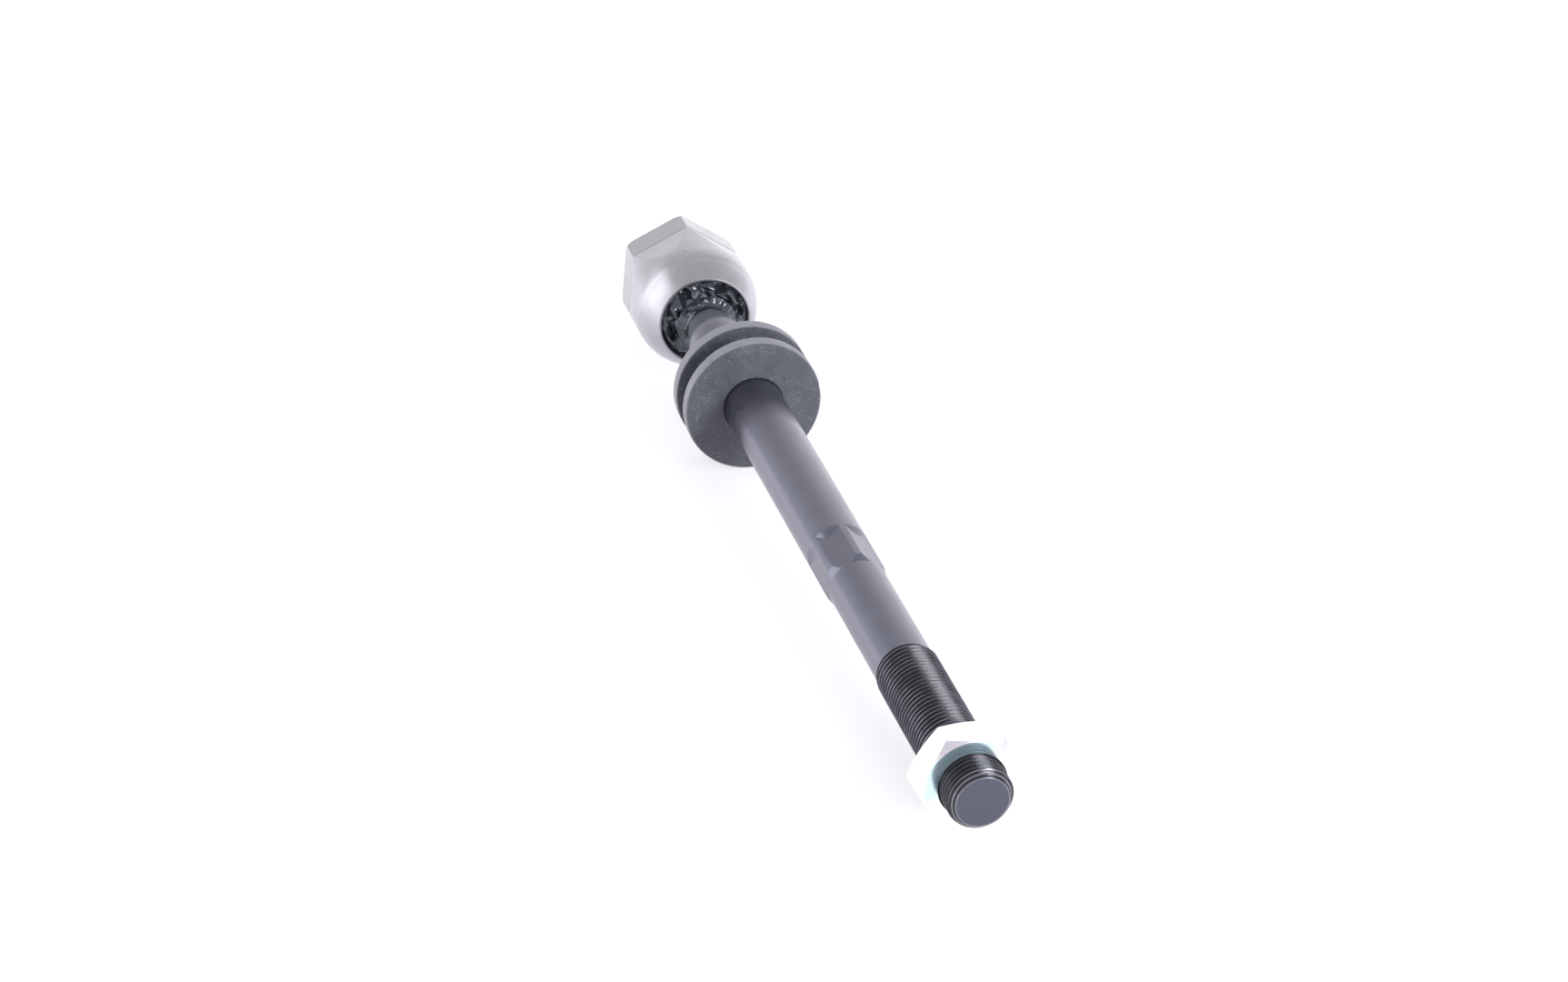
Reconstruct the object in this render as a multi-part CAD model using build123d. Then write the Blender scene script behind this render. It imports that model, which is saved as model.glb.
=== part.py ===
# Inner tie rod with its boot seat ring and locknut.
# X runs along the rod, from the centre of the ball at the origin to the threaded tip.
# Z is up. All sizes are in millimetres.
import math
import os

from build123d import *

os.makedirs("parts", exist_ok=True)

# Ball stud and rod, one forging. Lengths follow one another from the ball's centre.
ball_d = 26.0
neck_d = 11.8
neck_root_r = 1.6
neck_len = 16.4
flare_len = 8.0
shank_d = 15.85
shank_len = 119.6
shoulder_len = 3.0
wrench_af = 14.5
wrench_len = 12.0
wrench_lead = 2.6
wrench_turn = 25.0
front_shank_d = 14.67
front_shank_len = 39.9
thread_runout = 2.0
thread_d = 15.85
thread_len = 57.5
tip_face_d = 12.6
tip_chamfer = 1.5

# Bearing shell round the ball
ball_fit = 0.1
shell_wall = 1.3
shell_front = 6.4
shell_slots = 6
shell_slot_w = 1.4
shell_slot_back = 5.0
shell_port_d = 5.0

# Housing, turned dome and hexagon
shell_fit = 0.02
housing_wall = 2.78
mouth_d = 24.4
lip_d = 23.8
mouth_land = 0.85
hex_af = 29.8
hex_len = 7.9
hex_turn = 25.6
hex_draft = 10.0
housing_back = 22.3
hex_chamfer = 1.0
hex_face_d = 32.9

# Threaded stud that goes into the steering rack
stud_d = 15.85
stud_len = 13.0
stud_neck_d = 13.6
stud_neck_len = 2.4
stud_chamfer = 1.3

# Rubber ring that the boot's small end seats on
ring_od = 37.0
ring_len = 13.5
ring_flange = 3.4
ring_groove_d = 27.0
ring_edge_r = 0.3
ring_fit = 0.06
ring_seat_x = 49.3

# Locknut
nut_af = 23.4
nut_t = 8.4
nut_face_d = 22.6
nut_fit = 0.06
nut_mouth_d = 17.4
nut_mouth_depth = 0.6
nut_turn = -2.0
free_thread = 7.4

# Grease
grease_gap = 0.03
collar_d = 16.8
collar_to_flare = 0.1
collar_tip_d = 13.2
pack_gap = 0.15
pack_rise = 1.2

ball_r = ball_d / 2
shank_r = shank_d / 2
thread_r = thread_d / 2
shell_in_r = ball_r + ball_fit
shell_out_r = shell_in_r + shell_wall
cavity_r = shell_out_r + shell_fit
body_r = cavity_r + housing_wall
mouth_r = mouth_d / 2
lip_r = lip_d / 2
mouth_rim_r = mouth_r + mouth_land
mouth_x = math.sqrt(body_r**2 - mouth_rim_r**2)
lip_x = math.sqrt(cavity_r**2 - lip_r**2)

flare_x = neck_len
shank_x = flare_x + flare_len
shoulder_x = shank_x + shank_len
wrench_x = shoulder_x + shoulder_len
wrench_end = wrench_x + wrench_len
front_shank_x = wrench_end + wrench_lead
runout_x = front_shank_x + front_shank_len
thread_x = runout_x + thread_runout
tip_x = thread_x + thread_len


def at_x(x):
    """Cross-section plane at x, with its first axis along +Y and its second along +Z."""
    return Plane(origin=(x, 0, 0), x_dir=(0, 1, 0), z_dir=(1, 0, 0))


def on_sphere(r, x):
    """Distance from the rod's axis of a sphere round the ball's centre, at x."""
    return math.sqrt(r**2 - x**2)


def turned(*curves):
    """Solid turned about the rod's axis from curves given as (x, radius)."""
    outline = Curve() + list(curves)
    face = make_face(Plane.XZ * outline)
    return revolve(face, Axis.X, 360)


def arc(r, x_from, x_to):
    """Arc of a sphere round the ball's centre, between two stations."""
    middle = (x_from + x_to) / 2
    start = (x_from, on_sphere(r, x_from))
    end = (x_to, on_sphere(r, x_to))
    return ThreePointArc(start, (middle, on_sphere(r, middle)), end)


def hexagon(af, turn, x):
    """Hexagon across its flats, turned about the axis, as a face at x."""
    return at_x(x) * RegularPolygon(af / 2, 6, major_radius=False, rotation=turn)


# Rod: ball with a filleted neck, flare, shank, shoulder, wrench flats, thin shank and thread
neck_r = neck_d / 2
root_x = on_sphere(ball_r + neck_root_r, neck_r + neck_root_r)
root_centre = (root_x, neck_r + neck_root_r)
ball_touch = (
    root_x * ball_r / (ball_r + neck_root_r),
    (neck_r + neck_root_r) * ball_r / (ball_r + neck_root_r),
)
root_angle = math.atan2(root_centre[1], root_centre[0])
root_mid_angle = (math.pi + root_angle + 1.5 * math.pi) / 2
root_mid = (
    root_x + neck_root_r * math.cos(root_mid_angle),
    root_centre[1] + neck_root_r * math.sin(root_mid_angle),
)
thread_face_r = tip_face_d / 2
blank_r = front_shank_d / 2
front_half = Polyline(
    (root_x, neck_r),
    (flare_x, neck_r),
    (shank_x, shank_r),
    (shoulder_x, shank_r),
    (wrench_x, wrench_af / 2),
    (wrench_end, wrench_af / 2),
    (wrench_end, blank_r),
    (runout_x, blank_r),
    (thread_x, thread_r),
    (tip_x - tip_chamfer, thread_r),
    (tip_x, thread_face_r),
    (tip_x, 0),
    (-ball_r, 0),
)
ball_arc = ThreePointArc((-ball_r, 0), (0, ball_r), ball_touch)
root_arc = ThreePointArc(ball_touch, root_mid, (root_x, neck_r))
rod = turned(ball_arc, root_arc, front_half)
wrench = extrude(hexagon(wrench_af, wrench_turn, shoulder_x), amount=front_shank_x - shoulder_x)
wrench_limit = turned(
    Polyline(
        (shoulder_x, 0),
        (shoulder_x, shank_r),
        (wrench_end, shank_r),
        (front_shank_x, blank_r),
        (front_shank_x, 0),
        (shoulder_x, 0),
    )
)
rod = rod + (wrench & wrench_limit)

# Bearing shell, open in front so that it snaps over the ball
shell_back_x = math.sqrt(shell_in_r**2 - (shell_port_d / 2) ** 2)
shell_rear_x = math.sqrt(shell_out_r**2 - (shell_port_d / 2) ** 2)
bearing_shell = turned(
    arc(shell_out_r, -shell_rear_x, shell_front),
    Line((shell_front, on_sphere(shell_out_r, shell_front)), (shell_front, on_sphere(shell_in_r, shell_front))),
    arc(shell_in_r, shell_front, -shell_back_x),
    Line((-shell_back_x, shell_port_d / 2), (-shell_rear_x, shell_port_d / 2)),
)
slot_len = shell_front + shell_slot_back
for i in range(shell_slots):
    slot = Box(slot_len, shell_slot_w, shell_out_r + shell_wall, align=(Align.MAX, Align.CENTER, Align.MIN))
    slot = Pos(shell_front, 0, 0) * slot
    bearing_shell -= Rot(i * 360 / shell_slots, 0, 0) * slot

# Housing: turned inside and out, then the hexagon's faces run out into the round body
back_x = -housing_back
hex_front_x = back_x + hex_len
housing_round = turned(
    Polyline(
        (-cavity_r, 0),
        (back_x, 0),
        (back_x, hex_face_d / 2),
        (back_x + hex_chamfer, body_r),
        (0, body_r),
    ),
    arc(body_r, 0, mouth_x),
    Polyline((mouth_x, mouth_rim_r), (mouth_x, mouth_r), (lip_x, lip_r)),
    ThreePointArc((lip_x, lip_r), (0, cavity_r), (-cavity_r, 0)),
)
run_len = body_r + cavity_r
run_af = hex_af + 2 * run_len * math.tan(math.radians(hex_draft))
hex_rear = extrude(hexagon(hex_af, hex_turn, back_x), amount=hex_len)
hex_run = loft([hexagon(hex_af, hex_turn, hex_front_x), hexagon(run_af, hex_turn, hex_front_x + run_len)])
housing = housing_round & (hex_rear + hex_run)
stud_root_x = back_x - stud_neck_len
stud_tip_x = back_x - stud_len
stud = turned(
    Polyline(
        (back_x, 0),
        (back_x, stud_neck_d / 2),
        (stud_root_x, stud_neck_d / 2),
        (stud_root_x - (stud_d - stud_neck_d) / 2, stud_d / 2),
        (stud_tip_x + stud_chamfer, stud_d / 2),
        (stud_tip_x, stud_d / 2 - stud_chamfer),
        (stud_tip_x, 0),
        (back_x, 0),
    )
)
housing = housing + stud

# Rubber ring, with a groove between two flanges
ring_back = ring_seat_x
ring_front = ring_back + ring_len
ring_r = ring_od / 2
groove_r = ring_groove_d / 2
ring_bore_r = shank_r + ring_fit
ring_outline = make_face(
    Polyline(
        (ring_back, ring_bore_r),
        (ring_back, ring_r),
        (ring_back + ring_flange, ring_r),
        (ring_back + ring_flange, groove_r),
        (ring_front - ring_flange, groove_r),
        (ring_front - ring_flange, ring_r),
        (ring_front, ring_r),
        (ring_front, ring_bore_r),
        (ring_back, ring_bore_r),
    )
)
rims = [v for v in ring_outline.vertices() if abs(v.Y - ring_r) < 0.001]
ring_outline = fillet(rims, ring_edge_r)
boot_seat_ring = revolve(Plane.XZ * ring_outline, Axis.X, 360)

# Locknut, chamfered on both faces and at both ends of its bore
nut_front = tip_x - free_thread
nut_back = nut_front - nut_t
nut_corner_r = nut_af / 2 / math.cos(math.radians(30))
nut_bevel = (nut_corner_r - nut_face_d / 2) * math.tan(math.radians(30))
nut_bore_r = thread_r + nut_fit
nut_mouth_r = nut_mouth_d / 2
nut_limit = turned(
    Polyline(
        (nut_back, nut_mouth_r),
        (nut_back, nut_face_d / 2),
        (nut_back + nut_bevel, nut_corner_r),
        (nut_front - nut_bevel, nut_corner_r),
        (nut_front, nut_face_d / 2),
        (nut_front, nut_mouth_r),
        (nut_front - nut_mouth_depth, nut_bore_r),
        (nut_back + nut_mouth_depth, nut_bore_r),
        (nut_back, nut_mouth_r),
    )
)
locknut = extrude(hexagon(nut_af, nut_turn, nut_back), amount=nut_t) & nut_limit

# Grease: a film between ball and shell, a collar on the neck and the pack in the mouth
film_in_r = ball_r + grease_gap
film_out_r = shell_in_r - grease_gap
grease_film = turned(
    ThreePointArc((-film_in_r, 0), (0, film_in_r), (shell_front, on_sphere(film_in_r, shell_front))),
    Line((shell_front, on_sphere(film_in_r, shell_front)), (shell_front, on_sphere(film_out_r, shell_front))),
    ThreePointArc((shell_front, on_sphere(film_out_r, shell_front)), (0, film_out_r), (-film_out_r, 0)),
    Line((-film_out_r, 0), (-film_in_r, 0)),
)
collar_r = collar_d / 2
cover_r = ball_r + pack_gap
collar_in_r = neck_r + grease_gap
collar_back = root_x
collar_front = flare_x - collar_to_flare
collar_wide_x = mouth_x + pack_rise + (mouth_r - collar_r) * (collar_front - mouth_x) / mouth_r
grease_collar = turned(
    Polyline(
        (collar_back, collar_in_r),
        (collar_back, collar_r),
        (collar_wide_x, collar_r),
        (collar_front, collar_tip_d / 2),
        (collar_front, collar_in_r),
        (collar_back, collar_in_r),
    )
)
pack_in_r = collar_r + pack_gap
pack_back = on_sphere(cover_r, pack_in_r)
pack_foot = shell_front + pack_gap
foot_out_r = on_sphere(cavity_r - pack_gap, pack_foot)
lip_in_r = lip_r - pack_gap
grease_pack = turned(
    arc(cover_r, pack_back, pack_foot),
    Polyline(
        (pack_foot, on_sphere(cover_r, pack_foot)),
        (pack_foot, foot_out_r),
        (lip_x, lip_in_r),
        (mouth_x, mouth_r - pack_gap),
        (collar_wide_x, pack_in_r),
        (pack_back, pack_in_r),
    ),
)

nodes = {
    "housing": housing,
    "bearing_shell": bearing_shell,
    "rod": rod,
    "boot_seat_ring": boot_seat_ring,
    "locknut": locknut,
    "grease_film": grease_film,
    "grease_collar": grease_collar,
    "grease_pack": grease_pack,
}
for name, solid in nodes.items():
    export_step(solid, f"parts/{name}.step")
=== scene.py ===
import math

import bmesh
import bpy
from mathutils import Matrix, Vector, noise


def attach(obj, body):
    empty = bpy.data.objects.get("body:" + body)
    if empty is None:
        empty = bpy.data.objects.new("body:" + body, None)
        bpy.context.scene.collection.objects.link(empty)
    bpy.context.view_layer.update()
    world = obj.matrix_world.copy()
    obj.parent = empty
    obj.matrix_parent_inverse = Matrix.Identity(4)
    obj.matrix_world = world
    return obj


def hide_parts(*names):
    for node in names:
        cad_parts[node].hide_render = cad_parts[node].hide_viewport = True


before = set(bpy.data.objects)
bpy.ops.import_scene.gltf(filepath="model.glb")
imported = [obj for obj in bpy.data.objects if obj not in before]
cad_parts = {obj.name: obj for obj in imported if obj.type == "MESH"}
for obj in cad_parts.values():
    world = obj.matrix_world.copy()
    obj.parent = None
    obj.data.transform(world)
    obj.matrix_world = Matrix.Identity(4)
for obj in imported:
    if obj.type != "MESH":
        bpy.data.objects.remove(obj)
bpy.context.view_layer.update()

scene = bpy.context.scene


# Camera. It looks along the rod from its threaded end, a little from the side and from above,
# with a long lens, as in the photograph.
photo_width, focal_length = 1725.0, 4529.09
film_width = 36.0
camera_place = (0.99448, -0.25286, 0.50227)
look = Vector((-0.84475, 0.23708, -0.47978)).normalized()
across = Vector((0.26484, 0.96424, 0.01017))
across = (across - across.dot(look) * look).normalized()

camera_data = bpy.data.cameras.new("camera")
camera_data.sensor_fit = "HORIZONTAL"
camera_data.sensor_width = film_width
camera_data.lens = film_width * focal_length / photo_width
camera_data.clip_start = 0.01
camera_data.clip_end = 50.0
camera = bpy.data.objects.new("camera", camera_data)
scene.collection.objects.link(camera)
turned_to = Matrix((across, across.cross(look), -look)).transposed().to_4x4()
camera.matrix_world = Matrix.Translation(camera_place) @ turned_to
scene.camera = camera


# Rod. Ball, neck, flare and shank are one steel forging with a dull dark phosphate coat.
# Six wrench flats are milled into the shank, and the thread on its end is rolled.
# Sizes are in millimetres, along the rod from the ball's centre, and radii from its axis.
ball_r = 13.0
neck_r = 5.9
neck_root_r = 1.6
shank_r = 7.925
blank_r = 7.335
flat_r = 7.25
flats_turn = math.radians(25.0 + 30.0)
flare_from, flare_to = 16.4, 24.4
ease_in, ease_out = 1.2, 1.5
shoulder_x, flats_from, flats_to, lead_to = 144.0, 147.0, 159.0, 161.6
shoulder_ring, lead_ring = shoulder_x + 0.8, flats_to - 0.5
runout_from, thread_from, tip_x = 201.5, 203.5, 261.0
runout_start = runout_from + 0.2
crest_r, root_r, pitch = 7.925, 7.04, 1.5
tip_face_r, tip_chamfer, tip_edge = 6.3, 1.5, 0.15
lathe_steps, thread_steps = 120, 96

coat_dark, coat_light = (0.018, 0.019, 0.027, 1), (0.030, 0.031, 0.043, 1)
coat_neck_tone, coat_fleck = (0.120, 0.126, 0.155, 1), (0.10, 0.10, 0.12, 1)
grease_dark, grease_light = (0.012, 0.014, 0.019, 1), (0.036, 0.040, 0.050, 1)
oil_and_groove_shade, crest_dull = (0.006, 0.006, 0.010, 1), (0.07, 0.07, 0.09, 1)
crest_worn, crest_free = (0.24, 0.24, 0.30, 1), (0.085, 0.085, 0.105, 1)
end_grey, rim_bare_and_highlight = (0.092, 0.097, 0.126, 1), (0.20, 0.20, 0.24, 1)


def turn_on_lathe(bm, outline, steps, start=0.0):
    """Turns an outline of (x, radius) points once round the rod's axis."""
    side = Vector((0.0, math.cos(start), math.sin(start)))
    points = [bm.verts.new(Vector((x, 0.0, 0.0)) + side * r) for x, r in outline]
    lines = [bm.edges.new(pair) for pair in zip(points, points[1:])]
    bmesh.ops.spin(bm, geom=points + lines, cent=(0, 0, 0), axis=(1, 0, 0), dvec=(0, 0, 0),
                   angle=math.tau, steps=steps, use_merge=True)


def arc_points(centre, r, start, end, count):
    """Points of an arc in (x, radius), from one angle in degrees to another."""
    angles = [math.radians(start + (end - start) * i / count) for i in range(count + 1)]
    return [(centre[0] + r * math.cos(a), centre[1] + r * math.sin(a)) for a in angles]


def clamp(value, low=0.0, high=1.0):
    return max(low, min(high, value))


def stands_at(vert, x):
    """Whether a point belongs to the outline's ring at x."""
    return abs(vert.co.x - x) < 0.01


def radius_of(point):
    return math.hypot(point.y, point.z)


def angle_of(point):
    return math.atan2(point.z, point.y)


def set_radius(vert, r):
    """Moves a point straight out from the rod's axis, or in."""
    scale = r / radius_of(vert.co)
    vert.co.y *= scale
    vert.co.z *= scale


def off_flat(point, middle):
    """Angle between a point and the middle of its nearest hexagon flat."""
    sixth = math.tau / 6
    return (angle_of(point) - middle + sixth / 2) % sixth - sixth / 2


def thread_outline(x, crest, root, length):
    """One turn of a 60 degree thread with rounded crest and root, from root to root."""
    root_half, root_lift, crest_drop = 0.17, 0.08, 0.13
    flank = (crest - root - root_lift - crest_drop) / math.tan(math.radians(60.0))
    top = length / 2 - flank - root_half
    half = [(0.0, root), (0.09, root + 0.012), (root_half, root + root_lift)]
    half += [(root_half + flank, crest - crest_drop)]
    half += [(root_half + flank + top * 0.45, crest - 0.03), (length / 2 - 0.04, crest)]
    return [(x + dx, r) for dx, r in half] + [(x + length - dx, r) for dx, r in reversed(half)]


def wind_thread(bm, start, end, crest, root, length):
    """Winds one right-hand turn of thread, sets turns side by side and trims both ends square."""
    outline = thread_outline(start - 2 * length, crest, root, length)
    points = [bm.verts.new((x, 0.0, r)) for x, r in outline]
    lines = [bm.edges.new(pair) for pair in zip(points, points[1:])]
    bmesh.ops.spin(bm, geom=points + lines, cent=(0, 0, 0), axis=(1, 0, 0), angle=math.tau,
                   dvec=(length / thread_steps, 0, 0), steps=thread_steps, use_merge=False)
    one_turn = bm.verts[:] + bm.edges[:] + bm.faces[:]
    for i in range(1, math.ceil((end - start) / length) + 3):
        copied = bmesh.ops.duplicate(bm, geom=one_turn)["geom"]
        moved = [g for g in copied if isinstance(g, bmesh.types.BMVert)]
        bmesh.ops.translate(bm, vec=(i * length, 0, 0), verts=moved)
    bmesh.ops.remove_doubles(bm, verts=bm.verts, dist=0.004)
    for x, away in ((start, -1), (end, 1)):
        bmesh.ops.bisect_plane(bm, geom=bm.verts[:] + bm.edges[:] + bm.faces[:], dist=0.0005,
                               plane_co=(x, 0, 0), plane_no=(away, 0, 0), clear_outer=True)


def open_edges(bm, x):
    """Edges of the open end at x."""
    return [e for e in bm.edges if e.is_boundary and all(stands_at(v, x) for v in e.verts)]


def finish_piece(bm, name, smooth_to):
    """Closes seams, turns faces outwards, scales to metres and sets soft and sharp edges."""
    bmesh.ops.remove_doubles(bm, verts=bm.verts, dist=0.002)
    bmesh.ops.dissolve_degenerate(bm, edges=bm.edges, dist=0.0005)
    bmesh.ops.recalc_face_normals(bm, faces=bm.faces)
    bmesh.ops.scale(bm, vec=(0.001, 0.001, 0.001), verts=bm.verts)
    mesh = bpy.data.meshes.new(name)
    bm.to_mesh(mesh)
    bm.free()
    mesh.shade_smooth()
    mesh.set_sharp_from_angle(angle=math.radians(smooth_to))
    piece = bpy.data.objects.new(name, mesh)
    scene.collection.objects.link(piece)
    return piece


# The thread comes first. It rises out of the blank over its run-out and ends in a chamfer.
bm = bmesh.new()
wind_thread(bm, runout_start, tip_x, crest_r, root_r, pitch)
for v in bm.verts:
    r = radius_of(v.co)
    rise = clamp((v.co.x - runout_start) / (thread_from - runout_from))
    r = blank_r + (r - blank_r) * rise * rise * (3 - 2 * rise)
    cone = tip_face_r + (tip_x - v.co.x) * (crest_r - tip_face_r) / tip_chamfer
    set_radius(v, min(r, cone))
tip_rim = bmesh.ops.extrude_edge_only(bm, edges=open_edges(bm, tip_x))["geom"]
for v in [g for g in tip_rim if isinstance(g, bmesh.types.BMVert)]:
    set_radius(v, tip_face_r - tip_edge)
bmesh.ops.remove_doubles(bm, verts=bm.verts, dist=0.002)
bmesh.ops.edgeloop_fill(bm, edges=open_edges(bm, tip_x))

# Then ball, neck and shank in one turning, into which the six flats are cut.
fillet_r = neck_r + neck_root_r
root_x = math.sqrt((ball_r + neck_root_r) ** 2 - fillet_r ** 2)
root_angle = math.degrees(math.atan2(fillet_r, root_x))
bar = arc_points((0, 0), ball_r, 180.0, root_angle, 48)
bar[0] = (-ball_r, 0.0)
bar += arc_points((root_x, fillet_r), neck_root_r, root_angle + 180.0, 270.0, 8)[1:]
bar += [(flare_from - ease_in, neck_r), (flare_from, neck_r + 0.07)]
bar += [(flare_from + ease_in, neck_r + 0.31), (flare_to - ease_out, shank_r - 0.39)]
bar += [(flare_to - ease_out / 3, shank_r - 0.17), (flare_to + ease_out / 3, shank_r - 0.04)]
bar += [(flare_to + ease_out, shank_r)]
bar += [(x, shank_r) for x in (40.0, 55.0, 75.0, 95.0, 115.0, 130.0)]
bar += [(x, shank_r) for x in (shoulder_x, shoulder_ring, lead_ring)]
bar += [(flats_to, blank_r + 0.01)]
bar += [(x, blank_r) for x in (lead_to, 175.0, 188.0, runout_from)]
turn_on_lathe(bm, bar, lathe_steps, flats_turn)
for v in bm.verts:
    flat = min(shank_r, flat_r / math.cos(off_flat(v.co, flats_turn)))
    drop = shank_r - flat
    past_blank = flat > blank_r
    if stands_at(v, shoulder_ring):
        v.co.x = shoulder_x + (flats_from - shoulder_x) * drop / (shank_r - flat_r)
        set_radius(v, flat)
    elif stands_at(v, lead_ring):
        lead = (lead_to - flats_to) * drop / (shank_r - blank_r)
        v.co.x = flats_to + lead if past_blank else flats_to
        set_radius(v, flat)
    elif stands_at(v, flats_to):
        v.co.x = lead_to if past_blank else flats_to
        set_radius(v, blank_r)
bmesh.ops.bridge_loops(bm, edges=open_edges(bm, runout_from) + open_edges(bm, runout_start))
for f in bm.faces:
    f.material_index = 1 if f.calc_center_median().x > runout_from + 1.0 else 0
rod = finish_piece(bm, "tie_rod_bar", 10.0)


def add_node(tree, kind, inputs=None, **settings):
    """Places a shader node, with its settings, numbers, colours and incoming links."""
    made = tree.nodes.new(kind)
    for key, value in settings.items():
        setattr(made, key, value)
    for key, value in (inputs or {}).items():
        if isinstance(value, bpy.types.NodeSocket):
            tree.links.new(value, made.inputs[key])
        else:
            made.inputs[key].default_value = value
    return made


def ramp(tree, value, start, end, low=0.0, high=1.0):
    """Turns a value between start and end into one between low and high, and stops there."""
    inputs = {"Value": value, "From Min": start, "From Max": end, "To Min": low, "To Max": high}
    return add_node(tree, "ShaderNodeMapRange", inputs).outputs["Result"]


def mix_colours(tree, share, first, second):
    """Goes from the first colour to the second as the share goes from 0 to 1."""
    inputs = {"Factor": share, "A": first, "B": second}
    return add_node(tree, "ShaderNodeMix", inputs, data_type="RGBA").outputs["Result"]


def maths(tree, operation, *values):
    return add_node(tree, "ShaderNodeMath", dict(enumerate(values)), operation=operation).outputs[0]


def start_group(name, inputs, outputs):
    """Opens a node group whose named sockets are given as (name, kind, value)."""
    tree = bpy.data.node_groups.new(name, "ShaderNodeTree")
    for socket, kind, value in inputs:
        made = tree.interface.new_socket(socket, in_out="INPUT", socket_type=kind)
        if value is not None:
            made.default_value = value
    for socket, kind in outputs:
        tree.interface.new_socket(socket, in_out="OUTPUT", socket_type=kind)
    return tree, tree.nodes.new("NodeGroupInput").outputs, tree.nodes.new("NodeGroupOutput").inputs


def fill_group(tree, group, inputs):
    """Places a node group and returns its outputs."""
    return add_node(tree, "ShaderNodeGroup", inputs, node_tree=group).outputs


def start_material(name):
    """Opens a material: returns it, its tree, its Principled surface and Object coordinates."""
    made = bpy.data.materials.new(name)
    made.use_nodes = True
    tree = made.node_tree
    tree.nodes.clear()
    surface = tree.nodes.new("ShaderNodeBsdfPrincipled")
    add_node(tree, "ShaderNodeOutputMaterial", {"Surface": surface.outputs["BSDF"]})
    coords = tree.nodes.new("ShaderNodeTexCoord").outputs["Object"]
    return made, tree, surface, coords


def raised(tree, height, strength, depth, under=None):
    """The normals of small bumps, laid over other bumps where there are some."""
    inputs = {"Height": height, "Strength": strength, "Distance": depth}
    if under is not None:
        inputs["Normal"] = under
    return add_node(tree, "ShaderNodeBump", inputs).outputs["Normal"]


def dress(tree, surface, colour, skin, roughness, bumps, under=None):
    """Gives a surface its colour, and its uneven roughness and small bumps from the grain."""
    tree.links.new(colour, surface.inputs["Base Color"])
    if roughness:
        uneven = ramp(tree, skin["Blotch"], 0.3, 0.7, *roughness)
        tree.links.new(uneven, surface.inputs["Roughness"])
    tree.links.new(raised(tree, skin["Height"], *bumps, under), surface.inputs["Normal"])


# Grain: the fine uneven skin of forged, coated or moulded surfaces.
# Height is its relief and Blotch its slow drift in tone.
grain, inside, outside = start_group(
    "grain",
    [
        ("Vector", "NodeSocketVector", None),
        ("Size", "NodeSocketFloat", 0.0004),
        ("Drift", "NodeSocketFloat", 0.006),
    ],
    [("Height", "NodeSocketFloat"), ("Blotch", "NodeSocketFloat")],
)
for size, detail, result in (("Size", 3.0, "Height"), ("Drift", 4.0, "Blotch")):
    scale = maths(grain, "DIVIDE", 1.0, inside[size])
    inputs = {"Vector": inside["Vector"], "Scale": scale, "Detail": detail}
    cloud = add_node(grain, "ShaderNodeTexNoise", inputs)
    grain.links.new(cloud.outputs["Fac"], outside[result])

# Dust: small pale specks with sharp edges, thicker where a slow noise says so.
dust, inside, outside = start_group(
    "dust",
    [
        ("Vector", "NodeSocketVector", None),
        ("Size", "NodeSocketFloat", 0.0006),
        ("Amount", "NodeSocketFloat", 0.2),
    ],
    [("Specks", "NodeSocketFloat"), ("Haze", "NodeSocketFloat")],
)
often = maths(dust, "DIVIDE", 1.0, inside["Size"])
seldom = maths(dust, "MULTIPLY", often, 0.16)
cells = add_node(dust, "ShaderNodeTexVoronoi",
                 {"Vector": inside["Vector"], "Scale": often, "Randomness": 1.0})
patches = add_node(dust, "ShaderNodeTexNoise",
                   {"Vector": inside["Vector"], "Scale": seldom, "Detail": 5.0, "Roughness": 0.7})
reach = maths(dust, "MULTIPLY", patches.outputs["Fac"], inside["Amount"])
near = maths(dust, "SUBTRACT", reach, cells.outputs["Distance"])
dust.links.new(ramp(dust, near, 0.0, 0.08), outside["Specks"])
dust.links.new(ramp(dust, patches.outputs["Fac"], 0.42, 0.72), outside["Haze"])

# About axis: how far a point is along the rod's axis, and how far out from it, in metres.
about_axis, inside, outside = start_group(
    "about_axis",
    [("Vector", "NodeSocketVector", None)],
    [("Along", "NodeSocketFloat"), ("Radius", "NodeSocketFloat")],
)
split = add_node(about_axis, "ShaderNodeSeparateXYZ", {"Vector": inside["Vector"]}).outputs
flatwise = add_node(about_axis, "ShaderNodeCombineXYZ", {"Y": split["Y"], "Z": split["Z"]})
outward = add_node(about_axis, "ShaderNodeVectorMath", {0: flatwise.outputs[0]}, operation="LENGTH")
about_axis.links.new(split["X"], outside["Along"])
about_axis.links.new(outward.outputs["Value"], outside["Radius"])

# Phosphate coat: dark blue-grey, dull and a little mottled.
# It is lighter on the neck, and the ball is dark with grease.
phosphate, tree, surface, coords = start_material("phosphate_coat")
skin = fill_group(tree, grain, {"Vector": coords, "Size": 0.00035, "Drift": 0.007})
place = fill_group(tree, about_axis, {"Vector": coords})
fleck = fill_group(tree, dust, {"Vector": coords, "Size": 0.0016, "Amount": 0.13})
colour = mix_colours(tree, ramp(tree, skin["Blotch"], 0.35, 0.65), coat_dark, coat_light)
lighter_neck = ramp(tree, place["Along"], 0.023, 0.029, 1.0, 0.0)
greased = ramp(tree, place["Along"], 0.0122, 0.0128, 1.0, 0.0)
colour = mix_colours(tree, lighter_neck, colour, coat_neck_tone)
colour = mix_colours(tree, greased, colour, grease_dark)
colour = mix_colours(tree, fleck["Specks"], colour, coat_fleck)
dress(tree, surface, colour, skin, (0.26, 0.34), (0.25, 0.00003))
surface.inputs["IOR"].default_value = 2.2
surface.inputs["Specular Tint"].default_value = (0.76, 0.77, 1.0, 1.0)
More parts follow.
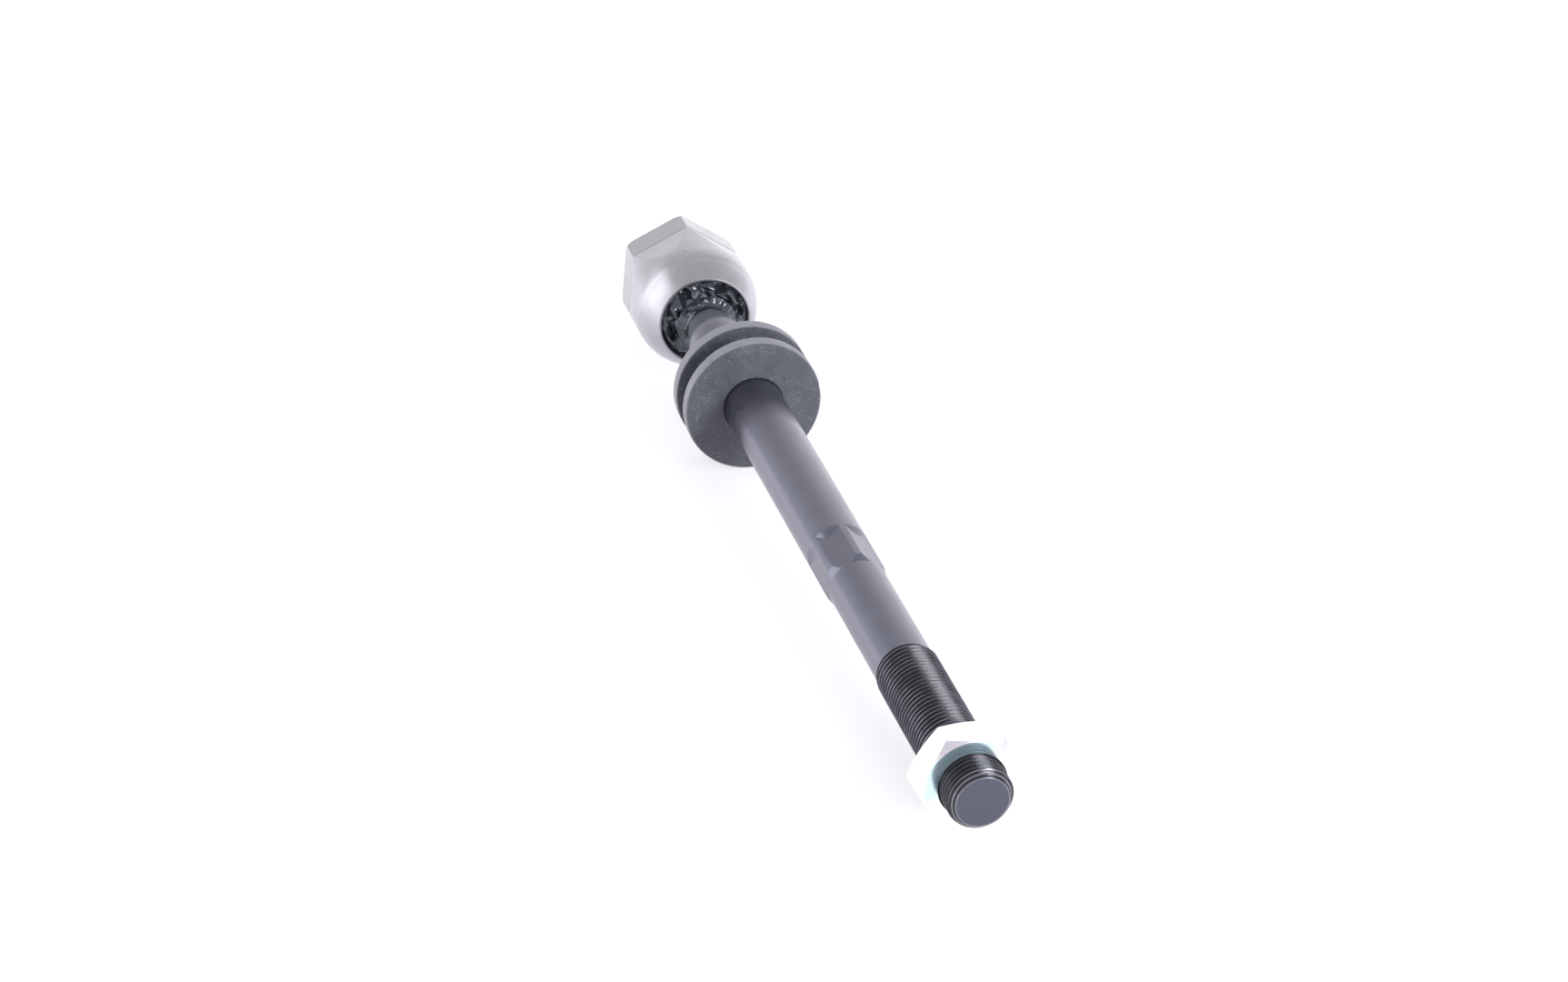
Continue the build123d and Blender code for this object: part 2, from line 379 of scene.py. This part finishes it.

# Rolled thread: black in its grooves, from oil and from painted shade for the grooves' own shadow,
# with bare steel on its crests and on the cut end.
# The crests behind the nut are worn brighter than the free ones in front of it.
oiled, tree, surface, coords = start_material("oiled_thread")
skin = fill_group(tree, grain, {"Vector": coords, "Size": 0.0006, "Drift": 0.004})
place = fill_group(tree, about_axis, {"Vector": coords})
crest = ramp(tree, place["Radius"], 0.00779, 0.00791)
cut_end = ramp(tree, place["Along"], 0.26088, 0.26096)
bare = maths(tree, "MAXIMUM", crest, cut_end)
colour = mix_colours(tree, ramp(tree, place["Along"], 0.2460, 0.2536), crest_worn, crest_free)
colour = mix_colours(tree, ramp(tree, skin["Blotch"], 0.3, 0.7), crest_dull, colour)
colour = mix_colours(tree, cut_end, colour, end_grey)
# Grooves get one black: oil, and painted shade where the grooves shadow themselves.
colour = mix_colours(tree, bare, oil_and_groove_shade, colour)
# Thin light rings at the face edge, mid-chamfer and chamfer edge of the tip: worn edges, and
# painted highlight lines.
rims = 0.0
for r in (0.00634, 0.00705, 0.00785):
    distance = maths(tree, "ABSOLUTE", maths(tree, "SUBTRACT", place["Radius"], r))
    rims = maths(tree, "MAXIMUM", rims, ramp(tree, distance, 0.00006, 0.00018, 1.0, 0.0))
worn_and_highlit_rim = maths(tree, "MULTIPLY", rims, ramp(tree, place["Along"], 0.2592, 0.2595))
colour = mix_colours(tree, worn_and_highlit_rim, colour, rim_bare_and_highlight)
dress(tree, surface, colour, skin, (0.17, 0.27), (0.15, 0.00003))
tree.links.new(maths(tree, "MAXIMUM", bare, worn_and_highlit_rim), surface.inputs["Metallic"])
surface.inputs["IOR"].default_value = 1.42
surface.inputs["Specular Tint"].default_value = (0.93, 0.94, 1.0, 1.0)

rod.data.materials.append(phosphate)
rod.data.materials.append(oiled)
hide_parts("rod")
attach(rod, "rod")


# Bearing shell. A thin slotted cup of pale plastic that snaps over the ball.
# It stays as it was moulded; only its finish is made here.
plastic_dark, plastic_light = (0.30, 0.29, 0.26, 1), (0.42, 0.41, 0.37, 1)

plastic, tree, surface, coords = start_material("bearing_plastic")
skin = fill_group(tree, grain, {"Vector": coords, "Size": 0.0006, "Drift": 0.005})
colour = mix_colours(tree, skin["Blotch"], plastic_dark, plastic_light)
dress(tree, surface, colour, skin, None, (0.2, 0.00003))
surface.inputs["Roughness"].default_value = 0.45
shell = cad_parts["bearing_shell"]
shell.data.materials.clear()
shell.data.materials.append(plastic)


# Housing. A steel forging turned to a round body, rolled in over the ball at its mouth.
# The hexagon's flats run out forward into the round, and a threaded stud stands on its back.
body_r = 17.2
cavity_r = 14.42
outside_from = 15.0
back_x = -22.3
hex_flat_r = 14.9
hex_front_x = -14.4
hex_slope = math.tan(math.radians(10.0))
hex_middle = math.radians(25.6 + 30.0)
hex_face_r, hex_bevel, bevel_ring = 16.45, 1.0, 0.4
trim_line = 0.12
run_from, run_step, run_rings = 0.5, 0.2, 7
mouth_x, mouth_rim_r, mouth_r = 11.204, 13.05, 12.2
lip_x, lip_r = 8.143, 11.9
stud_neck_r, stud_neck_to, stud_tip = 6.8, -24.7, -35.3
stud_runout, stud_chamfer = 1.1, 1.3
stud_join = stud_neck_to + 0.2
turned_step = ((4.0, 0.0), (4.3, 0.02), (4.6, 0.05), (5.2, 0.06))
turned_step += ((5.9, 0.05), (6.2, 0.02), (6.4, 0.0))

steel_dark, steel_light = (0.33, 0.32, 0.35, 1), (0.41, 0.40, 0.44, 1)
steel_band_painted_reflection, steel_pit = (0.385, 0.375, 0.40, 1), (0.22, 0.22, 0.25, 1)
pit_place = (0.0008, -0.0030, 0.0169)

bm = bmesh.new()
wind_thread(bm, stud_tip, stud_neck_to, crest_r, root_r, pitch)
for v in bm.verts:
    r = radius_of(v.co)
    rise = clamp((stud_neck_to - v.co.x) / stud_runout)
    cone = crest_r - stud_chamfer + (v.co.x - stud_tip)
    set_radius(v, min(stud_neck_r + (r - stud_neck_r) * rise, cone))
bmesh.ops.edgeloop_fill(bm, edges=open_edges(bm, stud_tip))

outline = [(stud_join, stud_neck_r), (back_x - 0.3, stud_neck_r), (back_x, stud_neck_r + 0.3)]
outline += [(back_x, hex_face_r), (back_x + bevel_ring, body_r)]
outline += [(hex_front_x + ahead, body_r) for ahead in (-0.3, -0.12, 0.0, 0.15)]
outline += [(hex_front_x + run_from + run_step * i, body_r) for i in range(run_rings)]
outline += arc_points((0, 0), body_r, 90.0, 77.0, 8)
outline += [(x, math.sqrt(body_r ** 2 - x * x) - sunk) for x, sunk in turned_step]
outline += arc_points((0, 0), body_r, 67.0, math.degrees(math.atan2(mouth_rim_r, mouth_x)), 14)
outline += [(mouth_x + 0.06, mouth_rim_r - 0.3), (mouth_x + 0.02, mouth_r + 0.25)]
outline += [(mouth_x - 0.25, mouth_r), (lip_x, lip_r)]
outline += arc_points((0, 0), cavity_r, math.degrees(math.atan2(lip_r, lip_x)), 180.0, 28)[1:-1]
outline += [(-cavity_r, 0.0)]
turn_on_lathe(bm, outline, lathe_steps, hex_middle)
for v in bm.verts:
    lean = math.cos(off_flat(v.co, hex_middle))
    flat = min(body_r, hex_flat_r / lean)
    outer = radius_of(v.co) > outside_from
    ahead = v.co.x - hex_front_x
    ring = (ahead - run_from) / run_step
    if stands_at(v, back_x) and outer:
        set_radius(v, min(hex_face_r, flat))
    elif stands_at(v, back_x + bevel_ring):
        v.co.x = back_x + hex_bevel * max(0.0, flat - hex_face_r) / (body_r - hex_face_r)
        set_radius(v, flat)
    elif -0.31 < ahead < 0.16 and outer:
        on_trim_line = -0.13 < ahead < 0.01
        set_radius(v, min(body_r, (hex_flat_r + trim_line) / lean) if on_trim_line else flat)
    elif -0.01 < ring < run_rings - 0.99 and outer:
        reach = max(0.0, body_r * lean - hex_flat_r) / hex_slope
        along = 0.15 + max((reach - 0.15) / run_rings, 0.06) * (ring + 1)
        v.co.x = hex_front_x + along
        set_radius(v, min(body_r, (hex_flat_r + along * hex_slope) / lean))
bmesh.ops.bridge_loops(bm, edges=open_edges(bm, stud_neck_to) + open_edges(bm, stud_join))
for f in bm.faces:
    f.material_index = 1 if f.calc_center_median().x < stud_neck_to else 0
housing = finish_piece(bm, "joint_housing", 14.0)

# Turning marks: fine rings about the rod's axis, from the lathe.
turning, inside, outside = start_group(
    "turning_marks",
    [("Vector", "NodeSocketVector", None), ("Feed", "NodeSocketFloat", 0.0002)],
    [("Height", "NodeSocketFloat")],
)
place = fill_group(turning, about_axis, {"Vector": inside["Vector"]})
ring_at = add_node(turning, "ShaderNodeCombineXYZ", {"X": place["Along"], "Y": place["Radius"]})
feed = maths(turning, "DIVIDE", 1.0, inside["Feed"])
rings = add_node(turning, "ShaderNodeTexNoise",
                 {"Vector": ring_at.outputs[0], "Scale": feed, "Detail": 2.0})
turning.links.new(rings.outputs["Fac"], outside["Height"])

# Nick: one small pit at a given place.
nick, inside, outside = start_group(
    "nick",
    [
        ("Vector", "NodeSocketVector", None),
        ("Place", "NodeSocketVector", None),
        ("Width", "NodeSocketFloat", 0.0005),
    ],
    [("Mask", "NodeSocketFloat")],
)
gap = add_node(nick, "ShaderNodeVectorMath", {0: inside["Vector"], 1: inside["Place"]},
               operation="DISTANCE")
share = maths(nick, "DIVIDE", gap.outputs["Value"], inside["Width"])
nick.links.new(ramp(nick, share, 0.6, 1.2, 1.0, 0.0), outside["Mask"])

# Bright forged steel, burnished where it was turned, greyer on the hexagon's rear band as a painted
# darker reflection.
steel, tree, surface, coords = start_material("bright_steel")
skin = fill_group(tree, grain, {"Vector": coords, "Size": 0.0005, "Drift": 0.009})
marks = fill_group(tree, turning, {"Vector": coords, "Feed": 0.0005})
place = fill_group(tree, about_axis, {"Vector": coords})
pit = fill_group(tree, nick, {"Vector": coords, "Place": pit_place, "Width": 0.0004})
colour = mix_colours(tree, ramp(tree, skin["Blotch"], 0.3, 0.7), steel_dark, steel_light)
# The hexagon's rear band gets one even grey: a painted darker reflection.
colour = mix_colours(tree, ramp(tree, place["Along"], -0.0146, -0.0142), steel_band_painted_reflection, colour)
colour = mix_colours(tree, pit["Mask"], colour, steel_pit)
ringed = raised(tree, marks["Height"], 0.6, 0.00003)
dress(tree, surface, colour, skin, (0.30, 0.40), (0.25, 0.00003), ringed)
surface.inputs["Metallic"].default_value = 0.9

housing.data.materials.append(steel)
housing.data.materials.append(oiled)
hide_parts("housing")
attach(housing, "housing")


# Grease. Black-green and wet: a film round the ball, a collar that sticks to the neck,
# and a lumpy pack with strings and pits that fills the housing's mouth.
# Each pit is (y, z, width, depth) and each fold (start, end, width, height), seen along the rod.
collar_r, collar_from, collar_tip_x, neck_skin = 8.4, 12.7, 16.3, 5.93
collar_steps, collar_rings = 160, 15
pack_in_r, lip_skin, ball_skin = 8.55, 12.08, 13.15
pack_steps, pack_rings = 224, 28
pits = [(-5.6, 8.5, 1.7, 2.4), (-8.6, -0.4, 1.5, 2.2), (-8.0, -3.0, 1.3, 2.0), (8.8, 1.8, 1.9, 2.4)]
pits += [(4.6, 9.5, 1.4, 2.2), (9.6, 6.2, 1.0, 1.5), (-10.6, 3.2, 0.8, 1.2), (0.2, 8.0, 1.0, 1.6)]
pits += [(-1.6, 11.0, 0.7, 1.0), (3.0, -9.6, 1.6, 2.0)]
folds = [((-3.1, 11.8), (2.6, 9.9), 0.5, 0.9), ((-9.4, 5.2), (-7.2, 0.4), 0.8, 1.2)]
folds += [((-7.2, 0.4), (-6.4, -5.2), 0.7, 1.0), ((-3.9, 5.8), (-1.8, 9.4), 0.5, 1.1)]
folds += [((1.8, 8.4), (3.0, 7.2), 0.7, 0.9), ((6.5, 8.2), (8.9, 4.9), 0.8, 1.0)]
folds += [((-11.2, -2.4), (-8.8, -6.8), 0.6, 0.8), ((-7.6, 9.2), (-6.8, 5.2), 0.4, 0.7)]

grease, tree, surface, coords = start_material("black_grease")
skin = fill_group(tree, grain, {"Vector": coords, "Size": 0.0012, "Drift": 0.003})
colour = mix_colours(tree, skin["Blotch"], grease_dark, grease_light)
dress(tree, surface, colour, skin, (0.05, 0.13), (0.25, 0.00015))
surface.inputs["Specular IOR Level"].default_value = 0.75
surface.inputs["Specular Tint"].default_value = (0.82, 0.90, 1.0, 1.0)


def knead(vert):
    """How far one point of the grease is pushed along the rod's axis, in soft lumps and strings."""
    a = angle_of(vert.co)
    lump = noise.noise(Vector((vert.co.y, vert.co.z, 0.0)) * 0.45)
    bend = noise.noise(Vector((math.cos(a) * 2.4, math.sin(a) * 2.4, radius_of(vert.co) * 0.12)))
    return 0.6 * lump + 0.35 * (1.0 - 2.6 * abs(bend))


def to_line(point, start, end):
    """Distance across the mouth from a point to a line between two (y, z) places."""
    p, a, b = Vector((point.y, point.z)), Vector(start), Vector(end)
    share = clamp((p - a).dot(b - a) / (b - a).length_squared)
    return (p - a - (b - a) * share).length


bm = bmesh.new()
rise = [(collar_from, neck_skin), (collar_from, 7.4), (collar_from, 8.1), (12.9, collar_r)]
for i in range(1, collar_rings):
    thick = (collar_r - neck_skin - 0.15) * (1 - i / collar_rings) ** 3.0
    rise.append((12.9 + 0.23 * i, neck_skin + 0.15 + thick))
rise += [(collar_tip_x - 0.06, neck_skin + 0.12), (collar_tip_x, neck_skin)]
rise += [(collar_from, neck_skin)]
turn_on_lathe(bm, rise, collar_steps)
for v in bm.verts:
    r = radius_of(v.co)
    if r > neck_skin + 0.05 and v.co.x > 12.95:
        a = angle_of(v.co)
        clump = noise.noise(Vector((math.cos(a) * 1.6, math.sin(a) * 1.6, v.co.x * 0.5)))
        thread = noise.noise(Vector((math.cos(a) * 5.0, math.sin(a) * 5.0, v.co.x * 0.35 + 4.0)))
        most = min(collar_r, collar_r - 0.75 * max(0.0, v.co.x - 13.9))
        grown = r + (r - neck_skin) * (1.1 * clump + 0.6 * thread)
        set_radius(v, max(neck_skin + 0.06, min(most, grown)))
collar = finish_piece(bm, "grease_on_neck", 80.0)
collar.data.materials.append(grease)
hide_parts("grease_collar")
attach(collar, "swing_collar")

bm = bmesh.new()
under = arc_points((0, 0), ball_skin, math.degrees(math.atan2(pack_in_r, 9.99)), 60.0, 8)
under += [(6.55, 12.8), (8.1, lip_skin - 0.35), (9.6, lip_skin - 0.12)]
over = []
for i in range(pack_rings + 1):
    inward = i / pack_rings
    swell = 1.6 * math.sin(inward * math.pi * 0.5)
    over.append((10.2 + swell, lip_skin - 0.05 - (lip_skin - pack_in_r) * inward))
turn_on_lathe(bm, under + over + [under[0]], pack_steps)
for v in bm.verts:
    r = radius_of(v.co)
    if v.co.x > 10.1 and r < lip_skin - 0.02:
        push = knead(v) - 0.2
        for y, z, wide, deep in pits:
            near = math.hypot(v.co.y - y, v.co.z - z) / wide
            push -= deep * math.exp(-near ** 3)
        for start, end, wide, high in folds:
            push += high * math.exp(-(to_line(v.co, start, end) / wide) ** 2)
        by_lip = min(1.0, (lip_skin - r) / 0.7)
        above_ball = math.sqrt(max(0.0, (ball_skin + 0.1) ** 2 - r ** 2))
        v.co.x = max(above_ball, v.co.x + by_lip * clamp(push, -3.4, 0.9))
pack = finish_piece(bm, "grease_in_mouth", 80.0)
pack.data.materials.append(grease)
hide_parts("grease_pack")
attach(pack, "housing")

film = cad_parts["grease_film"]
film.data.materials.clear()
film.data.materials.append(grease)


# Boot ring. Moulded black rubber with a groove for the boot's small end, a tight fit on the shank.
# Its skin has a grey bloom and dust on it, its rims are painted paler for the light that falls on
# them from above, and they are a little nicked.
ring_back, ring_front = 49.3, 62.8
ring_r, groove_r, flange = 18.49, 13.5, 3.4
ring_bore_r, bore_bevel = 7.985, 0.25
edge = 0.3
ring_steps = 288

rubber_dark, rubber_light = (0.060, 0.064, 0.084, 1), (0.112, 0.117, 0.150, 1)
rubber_bloom, rubber_rim_painted_light = (0.18, 0.19, 0.215, 1), (0.26, 0.265, 0.305, 1)
dust_pale = (0.50, 0.52, 0.56, 1)

flange_inside, flange_outside = ring_back + flange, ring_front - flange
bm = bmesh.new()
outline = [(ring_back, ring_bore_r + bore_bevel)]
outline += [(ring_back, r) for r in (10.0, 13.0, 16.0)]
outline += arc_points((ring_back + edge, ring_r - edge), edge, 180.0, 90.0, 5)
outline += arc_points((flange_inside - edge, ring_r - edge), edge, 90.0, 0.0, 5)
outline += [(flange_inside, 16.0), (flange_inside, groove_r + 0.3)]
outline += [(flange_inside + 0.1, groove_r + 0.1), (flange_inside + 0.3, groove_r)]
outline += [(flange_outside - 0.3, groove_r), (flange_outside - 0.1, groove_r + 0.1)]
outline += [(flange_outside, groove_r + 0.3), (flange_outside, 16.0)]
outline += arc_points((flange_outside + edge, ring_r - edge), edge, 180.0, 90.0, 5)
outline += arc_points((ring_front - edge, ring_r - edge), edge, 90.0, 0.0, 5)
outline += [(ring_front, r) for r in (16.5, 15.0, 13.0, 11.0, 9.5, ring_bore_r + bore_bevel)]
outline += [(ring_front - bore_bevel, ring_bore_r), (ring_back + bore_bevel, ring_bore_r)]
outline += [outline[0]]
turn_on_lathe(bm, outline, ring_steps)
for v in bm.verts:
    if radius_of(v.co) > ring_r - 0.35:
        a = angle_of(v.co)
        nicked = noise.noise(Vector((math.cos(a) * 11.0, math.sin(a) * 11.0, v.co.x * 0.25)))
        set_radius(v, radius_of(v.co) - 0.5 * max(0.0, nicked - 0.30))
boot_ring = finish_piece(bm, "boot_ring_rubber", 40.0)

rubber, tree, surface, coords = start_material("moulded_rubber")
skin = fill_group(tree, grain, {"Vector": coords, "Size": 0.0006, "Drift": 0.005})
bloom = fill_group(tree, dust, {"Vector": coords, "Size": 0.0007, "Amount": 0.32})
place = fill_group(tree, about_axis, {"Vector": coords})
colour = mix_colours(tree, skin["Blotch"], rubber_dark, rubber_light)
colour = mix_colours(tree, maths(tree, "MULTIPLY", bloom["Haze"], 0.35), colour, rubber_bloom)
# Painted light: the outer rims are painted paler all round, for the light from above.
colour = mix_colours(tree, ramp(tree, place["Radius"], 0.0180, 0.0184), colour, rubber_rim_painted_light)
colour = mix_colours(tree, bloom["Specks"], colour, dust_pale)
dress(tree, surface, colour, skin, (0.48, 0.66), (0.4, 0.00006))
surface.inputs["Specular IOR Level"].default_value = 0.5
boot_ring.data.materials.append(rubber)
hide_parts("boot_seat_ring")
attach(boot_ring, "boot_ring")


# Locknut. A hexagon nut with both faces chamfered, tapped through, with a thin bright zinc plate.
# It is run up the thread and locks the outer joint in place.
nut_back, nut_front = 245.2, 253.6
nut_flat_r, nut_face_r, nut_bore_r = 11.7, 11.3, 7.985
mouth_bevel_r, mouth_bevel, mouth_step = 8.3, 0.35, 0.1
nut_corner_r = nut_flat_r / math.cos(math.radians(30.0))
nut_middle = math.radians(28.0)
cone_slope = math.tan(math.radians(30.0))
cone_ring = 0.4
tap_depth, tap_fade = 0.5, 0.8

zinc_straw, zinc_green = (0.91, 0.90, 0.85, 1), (0.87, 0.91, 0.91, 1)
zinc_pink, zinc_painted_reflection = (0.91, 0.885, 0.91, 1), (0.60, 0.80, 0.88, 1)
zinc_painted_shade = (0.50, 0.47, 0.54, 1)

bm = bmesh.new()
outline = [(nut_back + mouth_bevel, nut_bore_r + mouth_step), (nut_back, mouth_bevel_r)]
outline += [(nut_back, nut_face_r), (nut_back + cone_ring, nut_corner_r)]
outline += [(nut_front - cone_ring, nut_corner_r), (nut_front, nut_face_r)]
outline += [(nut_front, mouth_bevel_r), (nut_front - mouth_bevel, nut_bore_r + mouth_step)]
turn_on_lathe(bm, outline, lathe_steps, nut_middle)
for v in bm.verts:
    flat = nut_flat_r / math.cos(off_flat(v.co, nut_middle))
    if stands_at(v, nut_back + cone_ring):
        v.co.x = nut_back + (flat - nut_face_r) * cone_slope
        set_radius(v, flat)
    elif stands_at(v, nut_front - cone_ring):
        v.co.x = nut_front - (flat - nut_face_r) * cone_slope
        set_radius(v, flat)
bore = bmesh.new()
bore_from, bore_to = nut_back + mouth_bevel + mouth_step, nut_front - mouth_bevel - mouth_step
wind_thread(bore, bore_from, bore_to, nut_bore_r + tap_depth, nut_bore_r, pitch)
for v in bore.verts:
    depth = clamp(min(v.co.x - bore_from, bore_to - v.co.x) / tap_fade)
    set_radius(v, nut_bore_r + (radius_of(v.co) - nut_bore_r) * depth)
threaded = bpy.data.meshes.new("nut_bore")
bore.to_mesh(threaded)
bore.free()
bm.from_mesh(threaded)
bmesh.ops.bridge_loops(bm, edges=open_edges(bm, nut_back + mouth_bevel) + open_edges(bm, bore_from))
bmesh.ops.bridge_loops(bm, edges=open_edges(bm, nut_front - mouth_bevel) + open_edges(bm, bore_to))
nut = finish_piece(bm, "lock_nut", 18.0)

# Zinc plate: its front face has a teal painted reflection at the upper left, and its front cone has
# painted shade that darkens upwards.
zinc, tree, surface, coords = start_material("zinc_plate")
skin = fill_group(tree, grain, {"Vector": coords, "Size": 0.0005, "Drift": 0.006})
marks = fill_group(tree, turning, {"Vector": coords, "Feed": 0.0004})
place = fill_group(tree, about_axis, {"Vector": coords})
spot = add_node(tree, "ShaderNodeSeparateXYZ", {"Vector": coords}).outputs
hue = add_node(tree, "ShaderNodeValToRGB", {"Fac": skin["Blotch"]})
stops = hue.color_ramp.elements
stops[0].position, stops[0].color = 0.30, zinc_straw
stops[1].position, stops[1].color = 0.70, zinc_pink
stops.new(0.5).color = zinc_green
front_face = ramp(tree, place["Along"], 0.25352, 0.25358)
# Painted reflection: the front face is tinted teal towards the upper left.
left_up = maths(tree, "MULTIPLY_ADD", spot["Y"], -0.8, spot["Z"])
painted_reflection = maths(tree, "MULTIPLY", front_face, ramp(tree, left_up, 0.002, 0.007))
colour = mix_colours(tree, painted_reflection, hue.outputs["Color"], zinc_painted_reflection)
# Painted shade: the front cone is darkened towards its top.
fall = maths(tree, "MULTIPLY_ADD", place["Radius"], cone_slope, place["Along"])
off_cone = maths(tree, "SUBTRACT", fall, (nut_front + nut_face_r * cone_slope) * 0.001)
on_cone = ramp(tree, maths(tree, "ABSOLUTE", off_cone), 0.00002, 0.00006, 0.9, 0.0)
painted_shade = maths(tree, "MULTIPLY", on_cone, ramp(tree, spot["Z"], 0.0055, 0.0095, 0.15, 1.0))
colour = mix_colours(tree, painted_shade, colour, zinc_painted_shade)
tree.links.new(colour, surface.inputs["Base Color"])
tree.links.new(ramp(tree, front_face, 0.0, 1.0, 0.24, 0.17), surface.inputs["Roughness"])
tree.links.new(raised(tree, marks["Height"], 0.06, 0.00003), surface.inputs["Normal"])
surface.inputs["Metallic"].default_value = 0.8
nut.data.materials.append(zinc)
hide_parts("locknut")
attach(nut, "locknut")


# Studio. The rod lies on a pale floor, on the rim of its rubber ring and on a flat of its nut.
# Round it is a white room, brighter low down and on the wall behind it at the right.
# One soft lamp stands at the front right and another on the left.
floor_half = 4.0
paper_white, paper_glow = (0.80, 0.79, 0.82, 1), (0.98, 0.97, 1.0, 1)
seen_glow, glow_near, glow_far = 0.52, 0.72, 1.5
room_light, wall_low, wall_high, right_extra = 0.58, 1.22, 0.9, 0.55
right_wall_way = (-0.86, 0.50, 0.08)

ring_foot = Vector((ring_front - edge, 0.0, -ring_r)) * 0.001
nut_foot = Vector((nut_front - (nut_flat_r - nut_face_r) * cone_slope, 0.0, -nut_flat_r)) * 0.001
along = (nut_foot - ring_foot).normalized()
floor_up = along.cross(Vector((0, 1, 0)))
floor_up = floor_up if floor_up.z > 0 else -floor_up
bm = bmesh.new()
bmesh.ops.create_grid(bm, x_segments=1, y_segments=1, size=floor_half)
lay = Matrix((along, floor_up.cross(along), floor_up)).transposed().to_4x4()
bmesh.ops.transform(bm, matrix=Matrix.Translation(ring_foot) @ lay, verts=bm.verts)
floor_mesh = bpy.data.meshes.new("floor")
bm.to_mesh(floor_mesh)
bm.free()
floor = bpy.data.objects.new("floor", floor_mesh)
scene.collection.objects.link(floor)

# Pale paper: white to the camera, and glowing in reflections, more so away from the rod.
paper = bpy.data.materials.new("pale_paper")
paper.use_nodes = True
tree = paper.node_tree
tree.nodes.clear()
coords = tree.nodes.new("ShaderNodeTexCoord").outputs["Object"]
path = tree.nodes.new("ShaderNodeLightPath").outputs
spot = add_node(tree, "ShaderNodeSeparateXYZ", {"Vector": coords}).outputs
aside = maths(tree, "ABSOLUTE", spot["Y"])
direct = maths(tree, "MULTIPLY", path["Is Camera Ray"], seen_glow)
strength = maths(tree, "MULTIPLY_ADD", path["Is Glossy Ray"],
                 ramp(tree, aside, 0.0, 0.16, glow_near, glow_far), direct)
matt = add_node(tree, "ShaderNodeBsdfDiffuse", {"Color": paper_white})
glow = add_node(tree, "ShaderNodeEmission", {"Color": paper_glow, "Strength": strength})
both = add_node(tree, "ShaderNodeAddShader", {0: matt.outputs[0], 1: glow.outputs[0]})
add_node(tree, "ShaderNodeOutputMaterial", {"Surface": both.outputs[0]})
floor.data.materials.append(paper)

# White room: rays that look at it, straight, by reflection or through glass, see its walls,
# and the light that it sheds is plainer and lower.
world = bpy.data.worlds.new("white_room")
scene.world = world
world.use_nodes = True
tree = world.node_tree
tree.nodes.clear()
direction = tree.nodes.new("ShaderNodeTexCoord").outputs["Generated"]
path = tree.nodes.new("ShaderNodeLightPath").outputs
up = add_node(tree, "ShaderNodeSeparateXYZ", {"Vector": direction}).outputs["Z"]
rightward = add_node(tree, "ShaderNodeVectorMath", {0: direction, 1: right_wall_way},
                     operation="DOT_PRODUCT")
right_wall = ramp(tree, rightward.outputs["Value"], 0.75, 0.98, 0.0, right_extra)
walls = maths(tree, "ADD", ramp(tree, up, 0.15, 0.95, wall_low, wall_high), right_wall)
looked_at = maths(tree, "MAXIMUM", path["Is Camera Ray"], path["Is Glossy Ray"])
looked_at = maths(tree, "MAXIMUM", looked_at, path["Is Transmission Ray"])
level = ramp(tree, looked_at, 0.0, 1.0, room_light, walls)
sky = add_node(tree, "ShaderNodeBackground", {"Color": (1, 1, 1, 1), "Strength": level})
add_node(tree, "ShaderNodeOutputWorld", {"Surface": sky.outputs[0]})


def softbox(name, place, aim, size, power):
    """A square lamp that faces its aim."""
    lamp = bpy.data.lights.new(name, "AREA")
    lamp.shape = "SQUARE"
    lamp.size = size
    lamp.energy = power
    made = bpy.data.objects.new(name, lamp)
    scene.collection.objects.link(made)
    made.visible_camera = False
    facing = (Vector(place) - Vector(aim)).to_track_quat("Z", "Y").to_matrix().to_4x4()
    made.matrix_world = Matrix.Translation(place) @ facing


softbox("front_lamp", (1.03, 0.54, 0.51), (0.15, 0.0, 0.0), 0.46, 9.0)
softbox("left_lamp", (-0.22, -0.93, 0.36), (0.05, 0.0, 0.0), 0.9, 5.2)

scene.view_settings.view_transform = "Standard"
